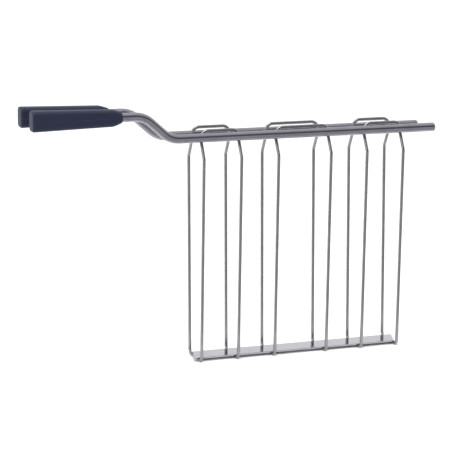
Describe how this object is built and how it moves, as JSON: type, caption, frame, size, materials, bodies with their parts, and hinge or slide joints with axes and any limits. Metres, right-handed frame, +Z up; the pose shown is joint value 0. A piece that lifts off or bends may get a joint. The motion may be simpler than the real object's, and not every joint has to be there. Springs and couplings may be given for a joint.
{
  "type": "toaster sandwich cage",
  "caption": "Spring-wire cage that holds a sandwich in a slot toaster: wire rings on a flat bottom strip, hung from rods that step up to moulded squeeze grips.",
  "frame": {"origin": "middle of the bounding box in X and Y, at the underside of the wires that the cage stands on", "axes": "+X along the rods, away from the grips; +Y towards the rear side; +Z up"},
  "size_m": [0.237, 0.0334, 0.1465],
  "materials": {
    "rod_steel": "bright drawn steel rod with a soft lengthwise grain",
    "wire_steel": "bright drawn spring wire",
    "strip_steel": "polished flat strip",
    "grip_plastic": "dark navy moulded plastic, satin"
  },
  "bodies": {
    "base": {"base_strip": "strip_steel", "wire_foot_1": "wire_steel", "wire_foot_2": "wire_steel", "wire_foot_3": "wire_steel", "wire_foot_4": "wire_steel", "wire_foot_5": "wire_steel", "wire_foot_6": "wire_steel"},
    "front_side": {"front_rod": "rod_steel", "front_grip": "grip_plastic", "front_wire_a": "wire_steel", "front_wire_b": "wire_steel", "front_wire_c": "wire_steel"},
    "rear_side": {"rear_rod": "rod_steel", "rear_grip": "grip_plastic", "rear_wire_a": "wire_steel", "rear_wire_b": "wire_steel", "rear_wire_c": "wire_steel"}
  },
  "joints": [
    {"name": "front_side_flex", "type": "hinge", "parent": "base", "child": "front_side", "pos_m": [0, -0.01112, 0.04283], "axis": [1, 0, 0], "range_deg": [-4.1, 8], "stiffness_Nm_per_rad": 6.5},
    {"name": "rear_side_flex", "type": "hinge", "parent": "base", "child": "rear_side", "pos_m": [0, 0.01114, 0.04283], "axis": [-1, 0, 0], "range_deg": [-4.1, 8], "stiffness_Nm_per_rad": 6.5}
  ],
  "couplings": [
    {"joint": "rear_side_flex", "follows": "front_side_flex", "ratio": 1}
  ]
}
